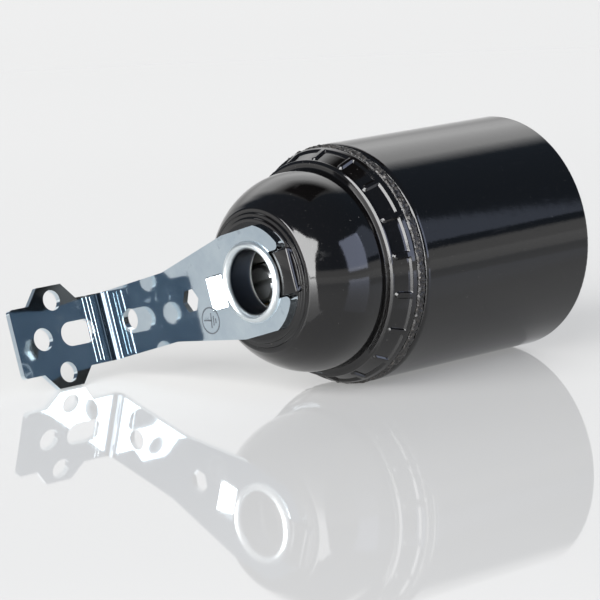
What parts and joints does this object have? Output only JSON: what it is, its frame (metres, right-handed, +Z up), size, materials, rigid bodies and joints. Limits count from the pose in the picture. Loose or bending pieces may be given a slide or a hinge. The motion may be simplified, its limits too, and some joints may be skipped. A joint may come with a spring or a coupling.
{
  "type": "lamp holder",
  "caption": "Edison-screw lamp holder with a domed black cap, a ribbed grip collar, a smooth skirt and a right-angled sheet-metal bracket riveted to its crown.",
  "frame": {"origin": "on the holder's axis, in the plane where the bracket sits on the cap's crown", "axes": "+X along the holder's axis to the open mouth, +Z up as it lies, +Y the side that the bracket reaches to"},
  "size_m": [0.0789, 0.0607, 0.0402],
  "materials": {
    "black_phenolic": "glossy moulded phenolic, finely speckled, with light handling scratches",
    "zinc_sheet": "bright zinc plate on rolled sheet",
    "bright_rivet": "bright plated and rolled",
    "insert_ceramic": "white glazed porcelain",
    "brass": "turned brass",
    "spring_bronze": "rolled spring bronze",
    "plated_steel": "bright zinc-plated screws"
  },
  "bodies": {
    "holder": {"mounting_bracket": "zinc_sheet", "cap": "black_phenolic", "hollow_rivet": "bright_rivet", "rivet_washer": "zinc_sheet", "contact_insert": "insert_ceramic", "line_terminal": "brass", "line_clamp_washer": "plated_steel", "line_terminal_screw": "plated_steel", "line_contact_screw": "plated_steel", "line_lock_washer": "plated_steel", "neutral_terminal": "brass", "neutral_clamp_washer": "plated_steel", "neutral_terminal_screw": "plated_steel", "neutral_contact_screw": "plated_steel", "neutral_lock_washer": "plated_steel", "centre_contact": "spring_bronze", "side_contact": "spring_bronze"},
    "skirt": {"skirt": "black_phenolic"},
    "contact_button": {"contact_button": "brass"}
  },
  "joints": [
    {"name": "skirt_release", "type": "slide", "parent": "holder", "child": "skirt", "axis": [1, 0, 0], "range_m": [0, 0.03]},
    {"name": "contact_press", "type": "slide", "parent": "holder", "child": "contact_button", "axis": [-1, 0, 0], "range_m": [0, 0.0012], "stiffness_N_per_m": 3000, "deforming": ["centre_contact"]}
  ]
}
